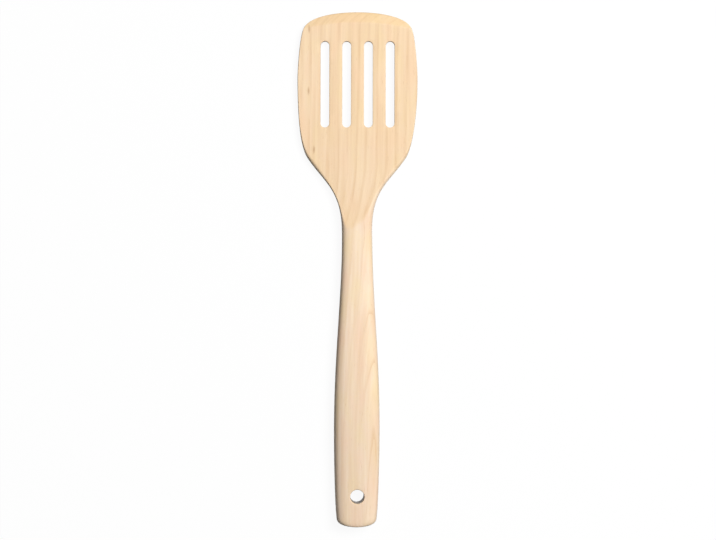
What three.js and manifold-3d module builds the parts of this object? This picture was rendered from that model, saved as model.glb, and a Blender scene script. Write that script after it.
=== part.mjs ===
// A slotted wooden turner, carved from one board of pale hard maple.
// Millimetres. +Y runs from the butt of the handle to the lip of the blade, +Z is up from the
// surface that the turner lies on. The origin is under the middle of its length.

import * as THREE from 'three';
import { mergeVertices } from 'three/addons/utils/BufferGeometryUtils.js';
import Module from 'manifold-3d';

const wasm = await Module();
wasm.setup();

// Plan: distances along the turner, from the butt to the lip
const buttCornerLength = 7.2;
const gripLength = 58;
const neckFromGrip = 119.5;
const shoulderFromNeck = 44.5;
const widestFromShoulder = 48;
const lipCornerFromWidest = 30;
const lipFromCorner = 10;

// Plan: full widths at those places, and the slant of the sides there in degrees from straight ahead
const buttWidth = 24.5;
const gripWidth = 27.5;
const neckWidth = 18.2;
const shoulderWidth = 59.4;
const bladeWidth = 72.4;
const lipCornerWidth = 65.2;
const buttSlant = 8.6;
const shoulderSlant = 33.3;
const lipCornerSlant = -25.5;

// Side view: thickness of the wood. The widest line of the handle lies below the middle of its thickness.
const buttThickness = 12.2;
const gripThickness = 12.8;
const neckThickness = 8.8;
const neckLift = 0.5;
const widestLine = 0.3;
const heelThickness = 5.3;
const bladeThickness = 4.7;
const lipThickness = 1.5;

// Side view: the upper face of the blade is scooped out of the handle on a large radius, and the lip is
// bevelled. The crease of the bevel bows with the lip.
const scoopFromNeck = 42;
const scoopRadius = 200;
const bevelLength = 6.4;
const bevelBowRadius = 140;

// Section: a rounded bar, squarer in the handle than at the shoulders, with its faces planed flat on the blade
const handleSquareness = 3.6;
const shoulderSquareness = 1.9;
const bladeSquareness = 2.4;
const buttFullness = 0.2;
const bladeSideRise = 10;
const edgeEase = 0.8;
const runOutEase = 0.5;
const smallestEase = 0.05;

// Slots through the blade
const slotCount = 4;
const slotPitch = 13.1;
const slotWidth = 5.3;
const slotLength = 52;
const slotFromLip = 17.8;

// Hanging hole through the handle
const holeDiameter = 8;
const holeFromButt = 18.8;

// Places along the turner that follow from those sizes
const gripY = gripLength;
const neckY = gripY + neckFromGrip;
const shoulderY = neckY + shoulderFromNeck;
const widestY = shoulderY + widestFromShoulder;
const lipCornerY = widestY + lipCornerFromWidest;
const lipY = lipCornerY + lipFromCorner;
const scoopY = neckY + scoopFromNeck;
const bevelY = lipY - bevelLength;

// How finely the curves are cut into facets
const sectionAngles = [0, 6, 13, 21, 31, 45, 65, 90];
const slotArcSegments = 10;
const holeSegments = 40;
const endShrink = 0.4;
const cutterClearance = 3;

const { smoothstep, lerp, degToRad } = THREE.MathUtils;

// Right-hand side of the plan as knots that the outline passes through. reachBack and reachOn say how
// far the curve follows a knot's slant on either side, as a share of the distance to the next knot.
const outlineKnots = [
  { x: 0, y: 0, slant: 90, reachOn: 0.88, facets: 9 },
  { x: buttWidth / 2, y: buttCornerLength, slant: buttSlant, reachBack: 0.18, reachOn: 0.085, facets: 9 },
  { x: gripWidth / 2, y: gripY, slant: 0, reachBack: 0.41, reachOn: 0.4, facets: 13 },
  { x: neckWidth / 2, y: neckY, slant: 0, reachBack: 0.345, reachOn: 0.52, facets: 17 },
  { x: shoulderWidth / 2, y: shoulderY, slant: shoulderSlant, reachBack: 0.355, reachOn: 0.155, facets: 12 },
  { x: bladeWidth / 2, y: widestY, slant: 0, reachBack: 0.49, reachOn: 0.12, facets: 8 },
  { x: lipCornerWidth / 2, y: lipCornerY, slant: lipCornerSlant, reachBack: 0.2, reachOn: 0.25, facets: 16 },
  { x: 0, y: lipY, slant: -90, reachBack: 0.38 },
];

// Points down the right-hand edge of the plan, from the butt to the lip
function outlinePoints() {
  const points = [];
  for (let i = 0; i + 1 < outlineKnots.length; i++) {
    const from = outlineKnots[i];
    const to = outlineKnots[i + 1];
    const start = new THREE.Vector2(from.x, from.y);
    const end = new THREE.Vector2(to.x, to.y);
    const span = start.distanceTo(end);
    const leave = along(from.slant, from.reachOn * span).add(start);
    const arrive = along(to.slant, -to.reachBack * span).add(end);
    const curve = new THREE.CubicBezierCurve(start, leave, arrive, end);
    points.push(...curve.getPoints(from.facets).slice(i === 0 ? 0 : 1));
  }
  return points;
}

function along(slant, distance) {
  const angle = degToRad(slant);
  return new THREE.Vector2(Math.sin(angle), Math.cos(angle)).multiplyScalar(distance);
}

// Height of the planed upper face: bevelled lip, tapering blade, scoop rising into the handle
function upperFace(x, y) {
  const taper = (y - scoopY) / (bevelY - scoopY);
  const blade = lerp(heelThickness, bladeThickness, taper);
  const scoop = Math.max(0, scoopY - y) ** 2 / (2 * scoopRadius);
  const fromLip = lipY - x ** 2 / (2 * bevelBowRadius) - y;
  const bevel = lerp(lipThickness, bladeThickness, fromLip / bevelLength);
  return Math.min(blade + scoop, bevel);
}

// The rounded bar before its faces are planed: the height of its widest line in the handle, how far it
// rises and falls from there, and the squareness of its section
function bar(y) {
  const towardsGrip = smoothstep(y, 0, gripY);
  const towardsNeck = smoothstep(y, gripY, neckY);
  const towardsBlade = smoothstep(y, neckY, shoulderY);
  const thickness = lerp(lerp(buttThickness, gripThickness, towardsGrip), neckThickness, towardsNeck);
  const buttLift = (gripThickness - buttThickness) / 2;
  const lift = lerp(buttLift * (1 - towardsGrip), neckLift, towardsNeck);
  const atShoulder = lerp(handleSquareness, shoulderSquareness, towardsBlade);
  return {
    towardsBlade,
    handleMiddle: lift + widestLine * thickness,
    rise: lerp((1 - widestLine) * thickness, bladeSideRise, towardsBlade),
    fall: lerp(widestLine * thickness, bladeSideRise, towardsBlade),
    squareness: lerp(atShoulder, bladeSquareness, smoothstep(y, shoulderY, widestY)),
  };
}

// The lower of two heights, with the corner between them eased over the given depth
function easedMin(a, b, ease) {
  const mix = THREE.MathUtils.clamp(0.5 + (b - a) / (2 * ease), 0, 1);
  return lerp(b, a, mix) - ease * mix * (1 - mix);
}

// One closed section across the turner, as points in the XZ plane at the given y
function section(halfWidth, y) {
  const { towardsBlade, handleMiddle, rise, fall, squareness } = bar(y);
  const buttShare = Math.min(1, halfWidth / (buttWidth / 2)) ** buttFullness;
  const buttScale = y < buttCornerLength ? buttShare : 1;
  const power = 2 / squareness;
  const quarter = sectionAngles.map((degrees) => {
    const angle = degToRad(degrees);
    const x = degrees === 90 ? 0 : halfWidth * Math.cos(angle) ** power;
    const risen = buttScale * Math.sin(angle) ** power;
    const top = upperFace(x, y);
    const middle = lerp(handleMiddle, Math.min(heelThickness, top) / 2, towardsBlade);
    const upperEase = Math.min(lerp(runOutEase, edgeEase, towardsBlade), top - middle);
    const lowerEase = Math.min(Math.max(smallestEase, edgeEase * towardsBlade), middle);
    return {
      x,
      high: easedMin(middle + rise * risen, top, upperEase),
      low: -easedMin(fall * risen - middle, 0, lowerEase),
    };
  });
  const inward = quarter.slice(1, -1).reverse();
  return [
    ...quarter.map((p) => new THREE.Vector3(p.x, y, p.high)),
    ...inward.map((p) => new THREE.Vector3(-p.x, y, p.high)),
    ...quarter.map((p) => new THREE.Vector3(-p.x, y, p.low)),
    ...inward.map((p) => new THREE.Vector3(p.x, y, p.low)),
  ];
}

// Skin a row of like sections into one closed body
function loft(sections) {
  const size = sections[0].length;
  const positions = sections.flat().flatMap((p) => [p.x, p.y, p.z]);
  const triangles = [];
  for (let s = 0; s + 1 < sections.length; s++) {
    for (let i = 0; i < size; i++) {
      const next = (i + 1) % size;
      const a = s * size + i;
      const b = s * size + next;
      const c = b + size;
      const d = a + size;
      triangles.push(a, c, b, a, d, c);
    }
  }
  const last = (sections.length - 1) * size;
  for (let i = 1; i + 1 < size; i++) {
    triangles.push(0, i, i + 1);
    triangles.push(last, last + i + 1, last + i);
  }
  const geometry = new THREE.BufferGeometry();
  geometry.setAttribute('position', new THREE.Float32BufferAttribute(positions, 3));
  geometry.setIndex(triangles);
  return geometry;
}

function solidOf(geometry) {
  const bare = geometry.clone();
  bare.deleteAttribute('normal');
  bare.deleteAttribute('uv');
  const merged = mergeVertices(bare, 1e-4);
  const vertProperties = new Float32Array(merged.attributes.position.array);
  const triVerts = new Uint32Array(merged.index.array);
  return new wasm.Manifold(new wasm.Mesh({ numProp: 3, vertProperties, triVerts }));
}

function geometryOf(solid) {
  const { vertProperties, triVerts } = solid.getMesh();
  const geometry = new THREE.BufferGeometry();
  geometry.setAttribute('position', new THREE.BufferAttribute(new Float32Array(vertProperties), 3));
  geometry.setIndex(Array.from(triVerts));
  geometry.computeVertexNormals();
  return geometry;
}

// The whole board, shaped but not yet cut through. The two ends close on a narrow flat.
function shapedBoard() {
  const edge = outlinePoints();
  const sections = edge.slice(1, -1).map((p) => section(p.x, p.y));
  sections.unshift(section(edge[1].x * endShrink, 0));
  sections.push(section(edge[edge.length - 2].x * endShrink, lipY));
  return loft(sections);
}

// A round-ended cutter for one slot, standing through the blade
function slotCutter(x) {
  const radius = slotWidth / 2;
  const reach = slotLength / 2 - radius;
  const stadium = new THREE.Shape();
  stadium.absarc(0, reach, radius, 0, Math.PI, false);
  stadium.absarc(0, -reach, radius, Math.PI, 2 * Math.PI, false);
  const depth = heelThickness + 2 * cutterClearance;
  const cutter = new THREE.ExtrudeGeometry(stadium, {
    depth,
    curveSegments: slotArcSegments,
    bevelEnabled: false,
  });
  return cutter.translate(x, lipY - slotFromLip - slotLength / 2, -cutterClearance);
}

// A drill for the hanging hole
function holeCutter() {
  const depth = gripThickness + 2 * cutterClearance;
  const drill = new THREE.CylinderGeometry(holeDiameter / 2, holeDiameter / 2, depth, holeSegments);
  drill.rotateX(Math.PI / 2);
  return drill.translate(0, holeFromButt, gripThickness / 2);
}

function turnerBody() {
  let solid = solidOf(shapedBoard());
  for (let i = 0; i < slotCount; i++) {
    const x = (i - (slotCount - 1) / 2) * slotPitch;
    solid = solid.subtract(solidOf(slotCutter(x)));
  }
  return geometryOf(solid.subtract(solidOf(holeCutter())));
}

const hardMaple = new THREE.MeshStandardMaterial({ color: 0xf0d6ab, roughness: 0.55, metalness: 0 });

const body = new THREE.Mesh(turnerBody(), hardMaple);
body.name = 'turner_body';

const turner = new THREE.Group();
turner.add(body);
turner.position.y = -lipY / 2;

export default turner;
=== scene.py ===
import math
from typing import NamedTuple

import bmesh
import bpy
import numpy as np
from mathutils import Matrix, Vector
from mathutils.geometry import delaunay_2d_cdt


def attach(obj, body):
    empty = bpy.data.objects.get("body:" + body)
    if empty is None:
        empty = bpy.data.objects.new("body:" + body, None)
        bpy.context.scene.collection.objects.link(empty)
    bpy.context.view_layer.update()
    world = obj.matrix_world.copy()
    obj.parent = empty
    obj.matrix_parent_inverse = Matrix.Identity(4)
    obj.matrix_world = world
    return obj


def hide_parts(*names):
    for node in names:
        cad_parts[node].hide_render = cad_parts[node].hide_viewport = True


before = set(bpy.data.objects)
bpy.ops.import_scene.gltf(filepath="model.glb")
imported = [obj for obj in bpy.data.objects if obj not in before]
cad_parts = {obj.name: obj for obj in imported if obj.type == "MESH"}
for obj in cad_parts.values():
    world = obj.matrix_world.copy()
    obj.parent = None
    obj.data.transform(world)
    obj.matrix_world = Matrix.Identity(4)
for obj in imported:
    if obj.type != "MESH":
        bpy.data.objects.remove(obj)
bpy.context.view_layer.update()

# Turner, the outline of the board
# The turner is one board of hard maple, sawn round a template and then shaped by machine and by hand.
# The template's halves are alike, but the saw strayed up to half a millimetre to the left at the shoulders.
# Sizes are in millimetres, with y from the butt of the handle to the lip of the blade.
BUTT_CORNER_Y = 7.2
GRIP_Y = 58
NECK_Y = 177.5
SHOULDER_Y = 222
WIDEST_Y = 270
LIP_CORNER_Y = 300
LIP_Y = 310
BUTT_WIDTH = 24.5
GRIP_WIDTH = 27.5
NECK_WIDTH = 18.2
SHOULDER_WIDTH = 59.4
BLADE_WIDTH = 72.4
LIP_CORNER_WIDTH = 65.2
SAW_DRIFT = -0.45
DRIFT_STARTS_Y = (160, 212)
DRIFT_ENDS_Y = (225, 262)
CURVE_SAMPLES = 160


class Knot(NamedTuple):
    """A place that the right-hand edge passes through.

    The slant is in degrees off the board's length. The reaches say how far the edge keeps to it, as shares
    of the way from the last knot and to the next. Stations are the rows of the mesh up to the next knot.
    """

    half_width: float
    y: float
    slant: float
    reach_back: float
    reach_on: float
    stations: int


KNOTS = (
    Knot(0, 0, 90, 0, 0.95, 24),
    Knot(BUTT_WIDTH / 2, BUTT_CORNER_Y, 8.6, 0.18, 0.085, 22),
    Knot(GRIP_WIDTH / 2, GRIP_Y, 0, 0.41, 0.4, 44),
    Knot(NECK_WIDTH / 2, NECK_Y, 0, 0.345, 0.52, 60),
    Knot(SHOULDER_WIDTH / 2, SHOULDER_Y, 33.3, 0.355, 0.155, 30),
    Knot(BLADE_WIDTH / 2, WIDEST_Y, 0, 0.49, 0.12, 20),
    Knot(LIP_CORNER_WIDTH / 2, LIP_CORNER_Y, -25.5, 0.2, 0.25, 40),
    Knot(0, LIP_Y, -90, 0.38, 0, 0),
)


def edge_curve(start, end, steps):
    """Points along the edge between two knots, and the directions that it runs in there."""
    first = np.array((start.half_width, start.y))
    last = np.array((end.half_width, end.y))
    span = np.linalg.norm(last - first)
    slants = np.radians((start.slant, end.slant))
    leave = first + start.reach_on * span * np.array((math.sin(slants[0]), math.cos(slants[0])))
    arrive = last - end.reach_back * span * np.array((math.sin(slants[1]), math.cos(slants[1])))
    t = np.linspace(0, 1, steps + 1)[:, None]
    s = 1 - t
    points = s**3 * first + 3 * s * s * t * leave + 3 * s * t * t * arrive + t**3 * last
    heading = s * s * (leave - first) + 2 * s * t * (arrive - leave) + t * t * (last - arrive)
    return points, heading / np.linalg.norm(heading, axis=1)[:, None]


curves = [edge_curve(a, b, CURVE_SAMPLES) for a, b in zip(KNOTS, KNOTS[1:])]
edge = np.concatenate([points for points, heading in curves])
edge_heading = np.concatenate([heading for points, heading in curves])
edge_outward = np.stack((edge_heading[:, 1], -edge_heading[:, 0]), axis=1)


def half_width(y):
    """Half width of the template."""
    return np.interp(y, edge[:, 1], edge[:, 0])


def inset_half_width(y, inset):
    """Half width of the blade's outline drawn in by the given distance, and 0 past its end."""
    beyond_neck = edge[:, 1] > NECK_Y
    drawn_in = edge[beyond_neck] - inset * edge_outward[beyond_neck]
    return np.interp(y, drawn_in[:, 1], np.maximum(drawn_in[:, 0], 0))


def lerp(a, b, share):
    return a + (b - a) * share


def smoothstep(y, start, end):
    share = np.clip((y - start) / (end - start), 0, 1)
    return share * share * (3 - 2 * share)


def saw_drift(y):
    """How far to the side of the template the saw has strayed."""
    return SAW_DRIFT * smoothstep(y, *DRIFT_STARTS_Y) * (1 - smoothstep(y, *DRIFT_ENDS_Y))


# Turner, the faces of the board
# The handle is a rounded bar. The blade is planed flat, and its upper face is scooped out of the handle
# on a large radius, which leaves a V where it runs out at the neck. The lip is bevelled to a thin edge.
# Shaped by hand, the scoop and the crown of the handle lean a little to one side at the neck.
BUTT_THICKNESS = 12.2
GRIP_THICKNESS = 12.8
NECK_THICKNESS = 8.8
NECK_LIFT = 0.5
WIDEST_LINE = 0.3
HEEL_THICKNESS = 5.3
BLADE_THICKNESS = 4.7
LIP_THICKNESS = 1.5
BEVEL_LENGTH = 6.4
BEVEL_Y = LIP_Y - BEVEL_LENGTH
BEVEL_BOW_RADIUS = 140
BEVEL_EASE = 0.3
SCOOP_LENGTH = 42
SCOOP_Y = NECK_Y + SCOOP_LENGTH
SCOOP_RADIUS = 185
BLADE_TAPER = (HEEL_THICKNESS - BLADE_THICKNESS) / (BEVEL_Y - SCOOP_Y)
SCOOP_LEAN = 0.08
NECK_LEAN = 0.12
HANDLE_SQUARENESS = 3.6
SHOULDER_SQUARENESS = 1.9
BLADE_SQUARENESS = 2.4
BUTT_FULLNESS = 0.12
SHOULDER_SIDE_RISE = 10
BLADE_SIDE_RISE = 15
LIP_SIDE_RISE = 3
CRISP_SIDE_Y = (SHOULDER_Y - 8, SHOULDER_Y + 24)
EDGE_EASE = 0.8
RUN_OUT_EASE = 0.5
SMALLEST_EASE = 0.05


def eased_min(a, b, ease):
    """The lower of two heights, with the corner between them eased over the given depth."""
    mix = np.clip(0.5 + (b - a) / (2 * ease), 0, 1)
    return lerp(b, a, mix) - ease * mix * (1 - mix)


def planed_face(x, y):
    """Height of the planed upper face: bevelled lip, tapering blade, scoop rising into the handle."""
    blade = HEEL_THICKNESS + BLADE_TAPER * (SCOOP_Y - y)
    scoop = np.maximum(0, SCOOP_Y - y) ** 2 / (2 * SCOOP_RADIUS)
    lean = SCOOP_LEAN * x * (1 - smoothstep(y, NECK_Y, SHOULDER_Y))
    from_lip = LIP_Y - x * x / (2 * BEVEL_BOW_RADIUS) - y
    bevel = lerp(LIP_THICKNESS, BLADE_THICKNESS, from_lip / (LIP_Y - BEVEL_Y))
    return eased_min(blade + scoop + lean, bevel, BEVEL_EASE)


def crown(share_out, y):
    """How far a rounded bar has risen from its widest line, from 0 at its side to 1 at its middle."""
    squareness = lerp(HANDLE_SQUARENESS, SHOULDER_SQUARENESS, smoothstep(y, NECK_Y, SHOULDER_Y))
    squareness = lerp(squareness, BLADE_SQUARENESS, smoothstep(y, *CRISP_SIDE_Y))
    return np.maximum(0, 1 - share_out**squareness) ** (1 / squareness)


def board_faces(x, y, risen):
    """Heights of the upper and the lower face where the bar has risen by the given share."""
    to_grip = smoothstep(y, 0, GRIP_Y)
    to_neck = smoothstep(y, GRIP_Y, NECK_Y)
    to_blade = smoothstep(y, NECK_Y, SHOULDER_Y)
    to_lip = smoothstep(y, BEVEL_Y, LIP_Y)
    thickness = lerp(lerp(BUTT_THICKNESS, GRIP_THICKNESS, to_grip), NECK_THICKNESS, to_neck)
    butt_lift = (GRIP_THICKNESS - BUTT_THICKNESS) / 2
    lift = lerp(butt_lift * (1 - to_grip), NECK_LIFT, to_neck)
    top = planed_face(x, y)
    middle = lerp(lift + WIDEST_LINE * thickness, np.minimum(HEEL_THICKNESS, top) / 2, to_blade)
    butt_share = np.minimum(1, half_width(y) / (BUTT_WIDTH / 2)) ** BUTT_FULLNESS
    butt_scale = np.where(y < BUTT_CORNER_Y, butt_share, 1)
    blade_rise = lerp(SHOULDER_SIDE_RISE, BLADE_SIDE_RISE, smoothstep(y, *CRISP_SIDE_Y))
    side_rise = lerp(blade_rise, LIP_SIDE_RISE, to_lip)
    neck_lean = 1 - NECK_LEAN * to_neck * (1 - to_blade) * x / np.maximum(half_width(y), SMALLEST_EASE)
    up = lerp((1 - WIDEST_LINE) * thickness, side_rise, to_blade) * butt_scale * neck_lean * risen
    down = lerp(WIDEST_LINE * thickness, side_rise, to_blade) * butt_scale * risen
    upper_ease = np.minimum(lerp(RUN_OUT_EASE, EDGE_EASE, to_blade), top - middle)
    lower_ease = np.minimum(np.maximum(SMALLEST_EASE, EDGE_EASE * to_blade), middle)
    upper = eased_min(middle + up, top, upper_ease)
    lower = -eased_min(down - middle, 0, lower_ease)
    return np.where(risen > 0, upper, middle), np.where(risen > 0, lower, middle)


def board_faces_at(x, y):
    """The same heights at a place on the handle or well inside the blade."""
    return board_faces(x, y, crown(np.abs(x) / half_width(y), y))


# Turner, the slots and the hanging hole
# Four round-ended slots are routed through the blade, and a hole to hang the turner by is drilled through
# the handle, where the drill leaned over a little. The walls are painted brown, most of all in the hole:
# partly scorch left by the cutters and partly painted shade in the openings. The rims are broken with
# sandpaper, so they catch a thin line of light.
SLOT_COUNT = 4
SLOT_PITCH = 13.1
SLOT_WIDTH = 5.3
SLOT_LENGTH = 52
SLOT_FROM_LIP = 17.8
SLOT_Y = LIP_Y - SLOT_FROM_LIP - SLOT_LENGTH / 2
SLOT_RIM = 0.28
# Share of brown painted on the slot walls: partly the cutters' scorch, partly painted shade
SLOT_SCORCH_AND_SHADE = 0.25
SLOT_ARC_STEPS = 20
SLOT_SIDE_STEPS = 40
HOLE_DIAMETER = 8.4
HOLE_X = 0.4
HOLE_Y = 18.45
HOLE_LEAN = (-0.45, 0.36)
HOLE_RIM = 0.5
# Share of brown painted on the hole's wall: partly the drill's scorch, partly painted shade in the deep hole
HOLE_SCORCH_AND_SHADE = 0.9
HOLE_ARC_STEPS = 32


class Opening(NamedTuple):
    """A round-ended opening through the board. A round hole has no reach.

    The lean is how far the wall strays on its way down. Brown is painted on the wall by the given share,
    partly scorch left by the cutters and partly painted shade in the opening.
    """

    x: float
    y: float
    radius: float
    reach: float
    lean: tuple
    rim: float
    scorch_and_shade: float
    arc_steps: int
    side_steps: int

    def ring(self, out):
        """Points round the opening, at the given distance outside its wall."""
        turn = np.linspace(0, math.pi, self.arc_steps + 1)
        side = np.linspace(1, -1, self.side_steps + 1)[1:-1]
        radius = self.radius + out
        far = np.stack((radius * np.cos(turn), self.reach + radius * np.sin(turn)), axis=1)
        left = np.stack((np.full(len(side), -radius), self.reach * side), axis=1)
        half = np.concatenate((far, left)) if self.reach else far[:-1]
        return np.concatenate((half, -half)) + (self.x, self.y)

    def distance(self, points):
        """Distance from the opening's wall to each point, negative inside."""
        offset = points - (self.x, self.y)
        past_side = np.maximum(np.abs(offset[:, 1]) - self.reach, 0)
        return np.hypot(offset[:, 0], past_side) - self.radius


slots = [
    Opening(
        x=(i - (SLOT_COUNT - 1) / 2) * SLOT_PITCH,
        y=SLOT_Y,
        radius=SLOT_WIDTH / 2,
        reach=(SLOT_LENGTH - SLOT_WIDTH) / 2,
        lean=(0, 0),
        rim=SLOT_RIM,
        scorch_and_shade=SLOT_SCORCH_AND_SHADE,
        arc_steps=SLOT_ARC_STEPS,
        side_steps=SLOT_SIDE_STEPS,
    )
    for i in range(SLOT_COUNT)
]
hole = Opening(
    x=HOLE_X,
    y=HOLE_Y,
    radius=HOLE_DIAMETER / 2,
    reach=0,
    lean=HOLE_LEAN,
    rim=HOLE_RIM,
    scorch_and_shade=HOLE_SCORCH_AND_SHADE,
    arc_steps=HOLE_ARC_STEPS,
    side_steps=0,
)


# Turner, the mesh
# The plan is a grid of rows across the board and lines down its length, opened for the slots and the
# hole. It is lifted to the upper and the lower face, which meet along the widest line of the sides.
SIDE_LINES = 16
LINES = 24
SIDE_ZONE = 4.0
SIDE_CROWDING = 2.6
TURN_CROWDING = 1.2
HOLE_FIELD_LINE = 17
FIELD_MARGIN = 4.0
POINT_SPACING = 0.9
KEEP_INSIDE = 1
FILL_TOLERANCE = 1e-6
RIM_STEPS = 5
WALL_STEPS = 4
SCORCH_AND_SHADE_FADE = 6
SMALLEST_STEP = 0.002
WELD_DISTANCE = SMALLEST_STEP / 10
MIDDLE_Y = LIP_Y / 2
MM = 0.001

# Lines of the right half, from its side to the middle of the board
line = np.arange(LINES + 1)
insets = SIDE_ZONE * np.minimum(line / SIDE_LINES, 1) ** SIDE_CROWDING
inner_share = np.minimum((LINES - line) / (LINES - SIDE_LINES), 1)
turns = math.pi / 2 * (line / LINES) ** TURN_CROWDING
handle_out = np.maximum(np.cos(turns), 0) ** (2 / HANDLE_SQUARENESS)
handle_out[-1] = 0

spans = [edge_curve(a, b, a.stations)[0][:, 1] for a, b in zip(KNOTS, KNOTS[1:])]
stations = np.unique(np.concatenate(spans + [LIP_Y - insets]))
stations = stations[np.concatenate(([True], np.diff(stations) > SMALLEST_STEP))]
station = stations[:, None]
to_blade = smoothstep(station, NECK_Y, SHOULDER_Y)

blade_out = np.stack([inset_half_width(stations, inset) for inset in insets], axis=1) * inner_share
out = lerp(half_width(station) * handle_out, blade_out, to_blade)
edge_distance = np.minimum(insets, LIP_Y - station)
blade_risen = crown(1 - edge_distance / (BLADE_WIDTH / 2), station)
risen = lerp(crown(handle_out, station), blade_risen, to_blade)


def both_sides(right, sign):
    """Values on the lines of the right half, carried on over the left half with the given sign."""
    return np.concatenate((right, sign * right[:, -2::-1]), axis=1)


rows = len(stations)
columns = 2 * LINES + 1
grid_x = both_sides(out, -1)
grid_y = np.broadcast_to(station, grid_x.shape)
plan = [np.stack((grid_x + saw_drift(grid_y), grid_y), axis=2).reshape(-1, 2)]
upper, lower = board_faces(grid_x, grid_y, both_sides(risen, 1))
upper_heights = [upper.ravel()]
lower_heights = [lower.ravel()]


def grid_index(row, column):
    return row * columns + column


class Field(NamedTuple):
    """A block of grid cells that gives way to triangles round some openings."""

    openings: list
    first_row: int
    last_row: int
    first_column: int
    last_column: int

    def holds(self, row, column):
        """Whether a grid cell lies in the field."""
        in_rows = self.first_row <= row < self.last_row
        return in_rows and self.first_column <= column < self.last_column

    def border(self):
        """Grid points round the field, in order."""
        across = range(self.first_column, self.last_column)
        along = range(self.first_row, self.last_row)
        points = [(self.first_row, column) for column in across]
        points += [(row, self.last_column) for row in along]
        points += [(self.last_row, column + 1) for column in reversed(across)]
        points += [(row + 1, self.first_column) for row in reversed(along)]
        return [grid_index(row, column) for row, column in points]

    def inside(self):
        """Grid points within the border that are clear of the openings' rims."""
        inner_rows = range(self.first_row + 1, self.last_row)
        inner_columns = range(self.first_column + 1, self.last_column)
        inner = np.array([grid_index(row, column) for row in inner_rows for column in inner_columns])
        for opening in self.openings:
            inner = inner[opening.distance(plan[0][inner]) > opening.rim + POINT_SPACING]
        return inner.tolist()


def field_round(openings, first_line):
    """The field round some openings that reaches from a line to its fellow on the other side."""
    low = min(o.y - o.reach - o.radius for o in openings) - FIELD_MARGIN
    high = max(o.y + o.reach + o.radius for o in openings) + FIELD_MARGIN
    first_row = int(np.searchsorted(stations, low)) - 1
    last_row = int(np.searchsorted(stations, high))
    return Field(openings, first_row, last_row, first_line, columns - 1 - first_line)


def loop_edges(count, start):
    """Edges round a closed loop of points, numbered from start."""
    return [(start + i, start + (i + 1) % count) for i in range(count)]


def fill_field(field, rim_starts):
    """Triangles between a field's border and the rims of its openings."""
    border = field.border()
    numbers = border + field.inside()
    edges = loop_edges(len(border), 0)
    places = [plan[0][numbers]]
    for opening, start in zip(field.openings, rim_starts):
        rim = opening.ring(opening.rim)
        edges += loop_edges(len(rim), len(numbers))
        numbers += range(start, start + len(rim))
        places.append(rim)
    places = [Vector(place) for place in np.concatenate(places)]
    found, _, triangles, sources, _, _ = delaunay_2d_cdt(places, edges, [], KEEP_INSIDE, FILL_TOLERANCE)
    centres = np.array([np.mean([found[i] for i in t], axis=0) for t in triangles])
    solid = np.all([o.distance(centres) > o.rim for o in field.openings], axis=0)
    return [[numbers[sources[i][0]] for i in t] for t, keep in zip(triangles, solid) if keep]


openings = slots + [hole]
rim_starts = []
next_point = rows * columns
for opening in openings:
    rim = opening.ring(opening.rim)
    rim_upper, rim_lower = board_faces_at(rim[:, 0], rim[:, 1])
    rim_starts.append(next_point)
    next_point += len(rim)
    plan.append(rim)
    upper_heights.append(rim_upper)
    lower_heights.append(rim_lower)

fields = [field_round(slots, SIDE_LINES), field_round([hole], HOLE_FIELD_LINE)]
plan_faces = fill_field(fields[0], rim_starts[:SLOT_COUNT])
plan_faces += fill_field(fields[1], rim_starts[SLOT_COUNT:])
for row in range(rows - 1):
    for column in range(columns - 1):
        if any(field.holds(row, column) for field in fields):
            continue
        corners = ((row, column), (row, column + 1), (row + 1, column + 1), (row + 1, column))
        plan_faces.append([grid_index(r, c) for r, c in corners])

plan_points = np.concatenate(plan)
points = [
    np.column_stack((plan_points, np.concatenate(upper_heights))),
    np.column_stack((plan_points, np.concatenate(lower_heights))),
]
faces = list(plan_faces)
faces += [[i + next_point for i in face] for face in plan_faces]


def opening_wall(opening):
    """Rings of points from the rim on the upper face, down the wall, to the rim on the lower face."""
    upper_rings = []
    lower_rings = []
    for share in np.linspace(0, 1, RIM_STEPS + 1)[1:]:
        angle = share * math.pi / 2
        ring = opening.ring(opening.rim * (1 - math.sin(angle)))
        drop = opening.rim * (1 - math.cos(angle))
        ring_upper, ring_lower = board_faces_at(ring[:, 0], ring[:, 1])
        leaning_ring = ring + share * np.array(opening.lean)
        upper_rings.append(np.column_stack((ring, ring_upper - drop)))
        lower_rings.insert(0, np.column_stack((leaning_ring, ring_lower + drop)))
    shares = np.linspace(0, 1, WALL_STEPS + 1)[1:-1]
    wall = [lerp(upper_rings[-1], lower_rings[0], share) for share in shares]
    return upper_rings + wall + lower_rings


# Walls of the openings. A point attribute gives the share of brown painted at each point, partly scorch left
# by the cutters and partly painted shade in the openings, from 0 on the faces of the board.
next_ring = 2 * next_point
wall_scorch_and_shade = [np.zeros(next_ring)]
# The painted shade and scorch fade in over the rims to their full share on the walls
rim_shares = np.linspace(0, 1, RIM_STEPS + 1)[1:] ** SCORCH_AND_SHADE_FADE
ring_shares = np.concatenate((rim_shares, np.ones(WALL_STEPS - 1), rim_shares[::-1]))
for opening, rim_start in zip(openings, rim_starts):
    wall_rings = opening_wall(opening)
    count = len(wall_rings[0])
    starts = [rim_start]
    starts += [next_ring + i * count for i in range(len(wall_rings))]
    starts.append(rim_start + next_point)
    next_ring += count * len(wall_rings)
    points += wall_rings
    wall_scorch_and_shade.append(opening.scorch_and_shade * np.repeat(ring_shares, count))
    for above, below in zip(starts, starts[1:]):
        for i in range(count):
            j = (i + 1) % count
            faces.append([above + i, above + j, below + j, below + i])

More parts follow.
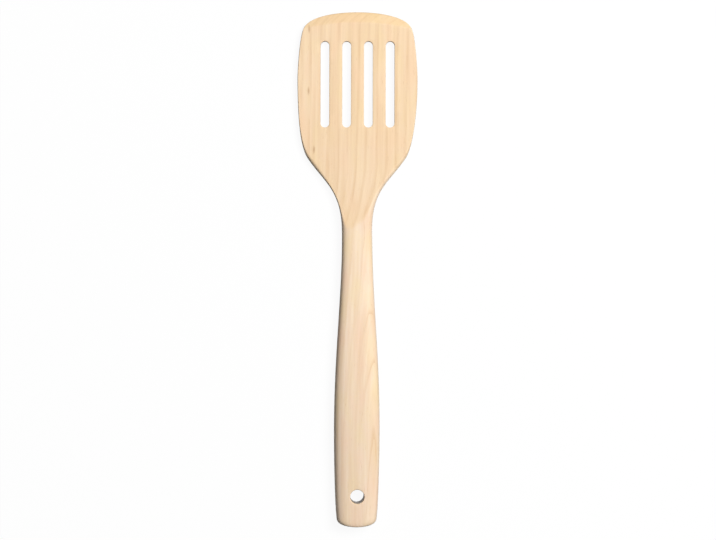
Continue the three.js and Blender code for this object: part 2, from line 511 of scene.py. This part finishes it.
# The frame is in metres, and its origin lies under the middle of the board's length
points = (np.concatenate(points) - (0, MIDDLE_Y, 0)) * MM
turner_mesh = bpy.data.meshes.new("turner_wood")
turner_mesh.from_pydata(points.tolist(), [], faces)
turner_mesh.attributes.new("wall_scorch_and_shade", "FLOAT", "POINT").data.foreach_set("value", np.concatenate(wall_scorch_and_shade))
shape = bmesh.new()
shape.from_mesh(turner_mesh)
bmesh.ops.remove_doubles(shape, verts=shape.verts, dist=WELD_DISTANCE * MM)
bmesh.ops.dissolve_degenerate(shape, edges=shape.edges, dist=WELD_DISTANCE * MM)
bmesh.ops.recalc_face_normals(shape, faces=shape.faces)
for face in shape.faces:
    face.smooth = True
shape.to_mesh(turner_mesh)
shape.free()
turner = bpy.data.objects.new("turner_wood", turner_mesh)
bpy.context.scene.collection.objects.link(turner)
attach(turner, "root")
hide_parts("turner_body")


# Turner, the maple
# Flat-sawn hard maple, sanded fine and wiped with a little oil: pale cream wood with thin brown lines
# where each year's growth ends, short pores and rays, and a warmer tone where the grain comes out at the
# surface. Roughness and bump follow the grain, so the sheen breaks up along the fibres.
PALE_WOOD = "#FAE7D4"
WARM_WOOD = "#F2D3AA"
ROSY_WOOD = "#FAD2BA"
STRAW_WOOD = "#F5E2AC"
PLANED_GOLD = "#F5CF90"
RING_BROWN = "#D6AE80"
END_GRAIN = "#F8D59B"
# Brown for the walls of the slots and the hole: partly scorch left by the cutters, partly painted shade
SCORCH_AND_SHADE_BROWN = "#6F5A45"
PORE_BROWN = "#C79B69"
MINERAL_BROWN = "#A9794A"
RING_THICKNESS = 2.45
RING_TILT = math.radians(25)
RING_SHIFT = 0.63
GRAIN_CREST_Y = 187
GRAIN_BOW_RADIUS = 4500
DRIFT_DEPTH = 0.8
WAVER_DEPTH = 1.1
LATE_WOOD_STARTS = 0.66
LATE_WOOD_ENDS = 0.14
LINE_PATCHES = (0.3, 0.7)
FAINTEST_LINE = 0.15
HANDLE_LINES = 0.45
FLAT_CUT = (0.92, 0.98)
FLAME_STARTS = 0.88
END_GRAIN_SLANT = (0.1, 0.9)
PLANED_EDGE = 0.45
PLANED_ALL_Y = (SHOULDER_Y - 12, SHOULDER_Y + 8)
CLOUD_FADE = (0.2, 1.4)
HEEL_CLOUD_PLACE = (2, 207, 5)
HEEL_CLOUD_SIZE = (22, 24, 20)
BUTT_CLOUD_PLACE = (1, 14, 9)
BUTT_CLOUD_SIZE = (20, 50, 20)
MINERAL_FADE = (0.3, 1.3)
MINERAL_SIZE = (0.7, 2.4, 6)
MINERAL_PLACES = ((-29.2, 299.5, 4.7), (-29.5, 262.2, 4.9), (-26.2, 226.8, 5.4))
WOOD_IOR = 1.5
WOOD_ROUGHNESS = (0.48, 0.64)
FIBRE_RELIEF = 0.06
RELIEF_STRENGTH = 0.6
PORE_DEPTH = 0.6
OIL_SHEEN = 0.45
OIL_SHEEN_ROUGHNESS = 0.3


def linear(hex_colour):
    """An sRGB hex colour as linear red, green, blue and alpha."""
    channels = [int(hex_colour[i:i + 2], 16) / 255 for i in (1, 3, 5)]
    return [c / 12.92 if c <= 0.04045 else ((c + 0.055) / 1.055) ** 2.4 for c in channels] + [1]


def empty_nodes(owner):
    """The node tree of a new material or world, cleared of what Blender puts there."""
    owner.use_nodes = True
    owner.node_tree.nodes.clear()
    return owner.node_tree


def add_node(tree, kind, inputs, **settings):
    """Adds a node with its settings, fills or links its inputs by name or number, and returns it."""
    node = tree.nodes.new("ShaderNode" + kind)
    for name, value in settings.items():
        setattr(node, name, value)
    for name, value in inputs.items():
        if isinstance(value, bpy.types.Node):
            value = next(output for output in value.outputs if output.enabled)
        if isinstance(value, bpy.types.NodeSocket):
            tree.links.new(value, node.inputs[name])
        else:
            node.inputs[name].default_value = value
    return node


maple = bpy.data.materials.new("hard_maple")
wood_nodes = empty_nodes(maple)
coordinates = add_node(wood_nodes, "TexCoord", {}).outputs
place = add_node(wood_nodes, "VectorMath", {0: coordinates["Object"], "Scale": 1 / MM}, operation="SCALE")
place_parts = add_node(wood_nodes, "SeparateXYZ", {0: place}).outputs
along = place_parts["Y"]

# Growth rings: nearly flat sheets that lean across the board and bow gently along it
ring_normal = (math.sin(RING_TILT), 0, math.cos(RING_TILT))
ring_run = (math.cos(RING_TILT), 0, -math.sin(RING_TILT))
through_rings = add_node(wood_nodes, "VectorMath", {0: place, 1: ring_normal}, operation="DOT_PRODUCT")
along_rings = add_node(wood_nodes, "VectorMath", {0: place, 1: ring_run}, operation="DOT_PRODUCT")
across = through_rings.outputs["Value"]
around = along_rings.outputs["Value"]
ring_place = add_node(wood_nodes, "CombineXYZ", {0: across, 1: along, 2: around})

# Each pattern with the size of its marks in millimetres. Pores and rays are drawn three times as coarse
# as they are in maple, because finer ones wouldn't show.
noise = {}
for name, vector, size, detail in (
    ("drift", place, (26, 120, 26), 2),
    ("waver", place, (7, 40, 7), 2),
    ("patch", place, (5, 28, 5), 1),
    ("tone", place, (30, 80, 30), 2),
    ("blush", place, (8, 24, 8), 1),
    ("streak", place, (2.2, 70, 2.2), 2),
    ("fibre", place, (0.9, 24, 0.9), 3),
    ("lamina", ring_place, (0.55, 90, 9), 2),
    ("pore", place, (0.28, 5, 0.28), 1),
    ("ray", ring_place, (7, 1.1, 0.45), 0),
):
    scale = [1 / length for length in size]
    scaled = add_node(wood_nodes, "VectorMath", {0: vector, 1: scale}, operation="MULTIPLY")
    noise[name] = add_node(wood_nodes, "TexNoise", {"Vector": scaled, "Scale": 1, "Detail": detail})

# Each mark shows where its pattern passes from the first level to the second
marks = {}
for name, pattern, start, full in (
    ("rosy", "blush", 0.5, 0.8),
    ("straw", "blush", 0.5, 0.2),
    ("streaks", "streak", 0.35, 0.7),
    ("laminae", "lamina", 0.4, 0.75),
    ("pores", "pore", 0.68, 0.77),
    ("rays", "ray", 0.62, 0.72),
):
    levels = {"Value": noise[pattern], "From Min": start, "From Max": full}
    marks[name] = add_node(wood_nodes, "MapRange", levels)

# The years of growth at a place: a brown line of late wood closes each year, stronger in some patches
from_crest = add_node(wood_nodes, "Math", {0: along, 1: GRAIN_CREST_Y - MIDDLE_Y}, operation="SUBTRACT")
below_crest = add_node(wood_nodes, "Math", {0: from_crest, 1: 0}, operation="MINIMUM")
squared = add_node(wood_nodes, "Math", {0: below_crest, 1: below_crest}, operation="MULTIPLY")
depth = add_node(
    wood_nodes, "Math", {0: squared, 1: 0.5 / GRAIN_BOW_RADIUS, 2: across}, operation="MULTIPLY_ADD"
)
for name, reach in (("drift", DRIFT_DEPTH), ("waver", WAVER_DEPTH)):
    depth = add_node(wood_nodes, "Math", {0: noise[name], 1: reach, 2: depth}, operation="MULTIPLY_ADD")
years = add_node(
    wood_nodes, "Math", {0: depth, 1: 1 / RING_THICKNESS, 2: RING_SHIFT}, operation="MULTIPLY_ADD"
)
year_share = add_node(wood_nodes, "Math", {0: years}, operation="FRACT")
year_number = add_node(wood_nodes, "Math", {0: years}, operation="FLOOR")
year_tone = add_node(wood_nodes, "TexWhiteNoise", {"W": year_number}, noise_dimensions="1D")
line_start = add_node(
    wood_nodes,
    "MapRange",
    {"Value": year_share, "From Min": LATE_WOOD_STARTS, "From Max": 1},
    interpolation_type="SMOOTHSTEP",
)
line_end = add_node(
    wood_nodes,
    "MapRange",
    {"Value": year_share, "From Min": 0, "From Max": LATE_WOOD_ENDS, "To Min": 1, "To Max": 0},
    interpolation_type="SMOOTHSTEP",
)
late_wood = add_node(wood_nodes, "Math", {0: line_start, 1: line_end}, operation="MAXIMUM")
strength = add_node(
    wood_nodes,
    "MapRange",
    {
        "Value": noise["patch"],
        "From Min": LINE_PATCHES[0],
        "From Max": LINE_PATCHES[1],
        "To Min": FAINTEST_LINE,
        "To Max": 1,
    },
)
ring_line = add_node(wood_nodes, "Math", {0: late_wood, 1: strength}, operation="MULTIPLY")

# The bevel cuts the grain on a slant, so end grain shows on what faces the lip end
facing_lip = add_node(wood_nodes, "SeparateXYZ", {0: coordinates["Normal"]}).outputs["Y"]
end_grain = add_node(
    wood_nodes,
    "MapRange",
    {"Value": facing_lip, "From Min": END_GRAIN_SLANT[0], "From Max": END_GRAIN_SLANT[1]},
)

# The planed face of the blade and of its scoop is more golden than the sanded handle
before_scoop = add_node(wood_nodes, "Math", {0: SCOOP_Y - MIDDLE_Y, 1: along}, operation="SUBTRACT")
into_scoop = add_node(wood_nodes, "Math", {0: before_scoop, 1: 0}, operation="MAXIMUM")
scoop_slope = add_node(
    wood_nodes, "Math", {0: into_scoop, 1: 0.5 / SCOOP_RADIUS, 2: BLADE_TAPER}, operation="MULTIPLY_ADD"
)
scoop_height = add_node(
    wood_nodes, "Math", {0: into_scoop, 1: scoop_slope, 2: HEEL_THICKNESS}, operation="MULTIPLY_ADD"
)
lean = add_node(
    wood_nodes,
    "MapRange",
    {
        "Value": along,
        "From Min": NECK_Y - MIDDLE_Y,
        "From Max": SHOULDER_Y - MIDDLE_Y,
        "To Min": SCOOP_LEAN,
        "To Max": 0,
    },
    interpolation_type="SMOOTHSTEP",
)
leaning_scoop = add_node(
    wood_nodes, "Math", {0: place_parts["X"], 1: lean, 2: scoop_height}, operation="MULTIPLY_ADD"
)
over_scoop = add_node(wood_nodes, "Math", {0: place_parts["Z"], 1: leaning_scoop}, operation="SUBTRACT")
on_scoop = add_node(
    wood_nodes, "MapRange", {"Value": over_scoop, "From Min": -PLANED_EDGE, "From Max": 0}
)
on_blade = add_node(
    wood_nodes,
    "MapRange",
    {"Value": along, "From Min": PLANED_ALL_Y[0] - MIDDLE_Y, "From Max": PLANED_ALL_Y[1] - MIDDLE_Y},
)
planed = add_node(wood_nodes, "Math", {0: on_scoop, 1: on_blade}, operation="MAXIMUM")

# The sanded handle shows its ring lines faintly, but where it is cut flat along a sheet they end in flames
clearness = add_node(wood_nodes, "MapRange", {"Value": planed, "To Min": HANDLE_LINES, "To Max": 1})
clear_line = add_node(wood_nodes, "Math", {0: ring_line, 1: clearness}, operation="MULTIPLY")
facing_rings = add_node(
    wood_nodes, "VectorMath", {0: coordinates["Normal"], 1: ring_normal}, operation="DOT_PRODUCT"
)
flat_cut = add_node(
    wood_nodes,
    "MapRange",
    {"Value": facing_rings.outputs["Value"], "From Min": FLAT_CUT[0], "From Max": FLAT_CUT[1]},
)
sheet_end = add_node(
    wood_nodes, "MapRange", {"Value": year_share, "From Min": FLAME_STARTS, "From Max": 1}
)
flames = add_node(wood_nodes, "Math", {0: flat_cut, 1: sheet_end}, operation="MULTIPLY")
# The share of brown painted on the walls of the openings: partly scorch, partly painted shade
walls_scorch_and_shade = add_node(wood_nodes, "Attribute", {}, attribute_name="wall_scorch_and_shade").outputs["Fac"]


def spot(centre, size, fade):
    """An oval spot in the wood, from 1 inside its core to 0 past its rim."""
    x, y, z = centre
    offset = add_node(wood_nodes, "VectorMath", {0: place, 1: (x, y - MIDDLE_Y, z)}, operation="SUBTRACT")
    sized = add_node(wood_nodes, "VectorMath", {0: offset, 1: size}, operation="DIVIDE")
    away = add_node(wood_nodes, "VectorMath", {0: sized}, operation="LENGTH").outputs["Value"]
    fading = {"Value": away, "From Min": fade[0], "From Max": fade[1], "To Min": 1, "To Max": 0}
    return add_node(wood_nodes, "MapRange", fading)


# Clouds of paler wood lie in the heel of the blade and in the butt, and mineral flecks down the left side
heel_cloud = spot(HEEL_CLOUD_PLACE, HEEL_CLOUD_SIZE, CLOUD_FADE)
butt_cloud = spot(BUTT_CLOUD_PLACE, BUTT_CLOUD_SIZE, CLOUD_FADE)
flecks = [spot(centre, MINERAL_SIZE, MINERAL_FADE) for centre in MINERAL_PLACES]

# Each layer of colour, where it shows, and how much it covers there at most
layers = [
    (WARM_WOOD, noise["tone"], 0.7),
    (WARM_WOOD, year_tone, 0.25),
    (ROSY_WOOD, marks["rosy"], 0.6),
    (STRAW_WOOD, marks["straw"], 0.5),
    (PALE_WOOD, heel_cloud, 0.6),
    (PALE_WOOD, butt_cloud, 0.3),
    (PLANED_GOLD, planed, 0.34),
    (RING_BROWN, marks["streaks"], 0.18),
    (RING_BROWN, noise["fibre"], 0.16),
    (RING_BROWN, marks["laminae"], 0.22),
    (RING_BROWN, clear_line, 0.42),
    (RING_BROWN, flames, 0.5),
    (PORE_BROWN, marks["pores"], 0.4),
    (END_GRAIN, marks["rays"], 0.2),
    (END_GRAIN, end_grain, 0.7),
    # Painted shade and the cutters' scorch on the walls of the openings
    (SCORCH_AND_SHADE_BROWN, walls_scorch_and_shade, 1),
]
layers += [(MINERAL_BROWN, fleck, 0.5) for fleck in flecks]

# The inputs 6 and 7 of a colour mix are the colour below and the colour laid over it
wood = linear(PALE_WOOD)
for colour, amount, most in layers:
    share = add_node(wood_nodes, "Math", {0: amount, 1: most}, operation="MULTIPLY", use_clamp=True)
    mixed = add_node(wood_nodes, "Mix", {0: share, 6: wood, 7: linear(colour)}, data_type="RGBA")
    wood = mixed.outputs[2]

roughness = add_node(
    wood_nodes,
    "MapRange",
    {"Value": noise["fibre"], "To Min": WOOD_ROUGHNESS[0], "To Max": WOOD_ROUGHNESS[1]},
)
relief = add_node(
    wood_nodes, "Math", {0: marks["pores"], 1: -PORE_DEPTH, 2: noise["fibre"]}, operation="MULTIPLY_ADD"
)
bump = add_node(
    wood_nodes, "Bump", {"Height": relief, "Distance": FIBRE_RELIEF * MM, "Strength": RELIEF_STRENGTH}
)
oiled_wood = add_node(
    wood_nodes,
    "BsdfPrincipled",
    {
        "Base Color": wood,
        "Roughness": roughness,
        "IOR": WOOD_IOR,
        "Normal": bump,
        "Sheen Weight": OIL_SHEEN,
        "Sheen Roughness": OIL_SHEEN_ROUGHNESS,
    },
)
add_node(wood_nodes, "OutputMaterial", {"Surface": oiled_wood})
turner_mesh.materials.append(maple)


# Floor
# A sheet of matt white paper under the turner. It throws some light back on the sides of the wood, and
# the camera sees it as white with the turner's faint shadow. Floor and light are sized in metres.
FLOOR_WIDTH = 8.0
FLOOR_DROP = 0.0002
FLOOR_CORNERS = ((-1, -1), (1, -1), (1, 1), (-1, 1))
PAPER_WHITE = "#FFFFFF"
PAPER_GLOW = 0.94
PAPER_GREY = 0.06
PAPER_BOUNCE = 0.3
PAPER_ROUGHNESS = 0.9

floor_points = [(x * FLOOR_WIDTH / 2, y * FLOOR_WIDTH / 2, -FLOOR_DROP) for x, y in FLOOR_CORNERS]
floor_mesh = bpy.data.meshes.new("floor")
floor_mesh.from_pydata(floor_points, [], [range(len(floor_points))])
floor = bpy.data.objects.new("floor", floor_mesh)
bpy.context.scene.collection.objects.link(floor)


def seen_by_camera(tree):
    """1 for rays by which the camera sees a surface, straight or in gloss or glass, and 0 for light."""
    ray_kind = add_node(tree, "LightPath", {}).outputs
    seen = ray_kind["Is Camera Ray"]
    for kind in ("Is Glossy Ray", "Is Transmission Ray"):
        seen = add_node(tree, "Math", {0: seen, 1: ray_kind[kind]}, operation="MAXIMUM")
    return seen


paper = bpy.data.materials.new("white_paper")
paper_nodes = empty_nodes(paper)
seen = seen_by_camera(paper_nodes)
glow = add_node(paper_nodes, "Math", {0: seen, 1: PAPER_GLOW}, operation="MULTIPLY")
grey = add_node(paper_nodes, "MapRange", {"Value": seen, "To Min": PAPER_BOUNCE, "To Max": PAPER_GREY})
paper_sheet = add_node(
    paper_nodes,
    "BsdfPrincipled",
    {
        "Base Color": grey,
        "Roughness": PAPER_ROUGHNESS,
        "Specular IOR Level": 0,
        "Emission Color": linear(PAPER_WHITE),
        "Emission Strength": glow,
    },
)
add_node(paper_nodes, "OutputMaterial", {"Surface": paper_sheet})
floor_mesh.materials.append(paper)


# Light
# One large softbox stands to the right of the turner, a little towards its lip. The white room adds a
# weak fill.
KEY_DISTANCE = 1.9
KEY_SIZE = 0.89
KEY_POWER = 43.2
KEY_TURN = math.radians(33)
KEY_HEIGHT = math.radians(58)
FILL = 0.01
ROOM_WHITE = "#FFFFFF"

towards_key = Vector((
    math.cos(KEY_HEIGHT) * math.cos(KEY_TURN),
    math.cos(KEY_HEIGHT) * math.sin(KEY_TURN),
    math.sin(KEY_HEIGHT),
))
softbox = bpy.data.lights.new("softbox", "AREA")
softbox.energy = KEY_POWER
softbox.size = KEY_SIZE
key = bpy.data.objects.new("softbox", softbox)
key.location = KEY_DISTANCE * towards_key
key.rotation_euler = towards_key.to_track_quat("Z", "Y").to_euler()
bpy.context.scene.collection.objects.link(key)

studio = bpy.data.worlds.new("studio")
studio_nodes = empty_nodes(studio)
room_seen = seen_by_camera(studio_nodes)
level = add_node(studio_nodes, "MapRange", {"Value": room_seen, "To Min": FILL, "To Max": 1})
walls = add_node(studio_nodes, "Background", {"Color": linear(ROOM_WHITE), "Strength": level})
add_node(studio_nodes, "OutputWorld", {"Surface": walls})
bpy.context.scene.world = studio


# Camera
# It looks straight down at the turner from a metre and a half, with the lip at the top of the picture.
# The places of lip, butt and axis are in pixels of the picture. Lens, sensor and heights are in millimetres.
PHOTO_WIDTH = 716
PHOTO_HEIGHT = 540
LIP_PIXEL_Y = 12.3
BUTT_PIXEL_Y = 526.65
AXIS_PIXEL_X = 357.1
CAMERA_ROLL = math.radians(0.125)
LENS = 125
SENSOR = 36
LIP_HEIGHT = LIP_THICKNESS / 2
BUTT_HEIGHT = GRIP_THICKNESS / 2

lens_pixels = PHOTO_WIDTH * LENS / SENSOR
lip_rise = (PHOTO_HEIGHT / 2 - LIP_PIXEL_Y) / lens_pixels
butt_drop = (BUTT_PIXEL_Y - PHOTO_HEIGHT / 2) / lens_pixels
camera_z = (LIP_Y + lip_rise * LIP_HEIGHT + butt_drop * BUTT_HEIGHT) / (lip_rise + butt_drop)
camera_y = MIDDLE_Y - lip_rise * (camera_z - LIP_HEIGHT)
camera_x = (PHOTO_WIDTH / 2 - AXIS_PIXEL_X) * camera_z / lens_pixels
camera_data = bpy.data.cameras.new("camera")
camera_data.lens = LENS
camera_data.sensor_width = SENSOR
camera = bpy.data.objects.new("camera", camera_data)
camera.location = Vector((camera_x, camera_y, camera_z)) * MM
camera.rotation_euler.z = CAMERA_ROLL
bpy.context.scene.collection.objects.link(camera)
bpy.context.scene.camera = camera
bpy.context.scene.view_settings.view_transform = "Standard"
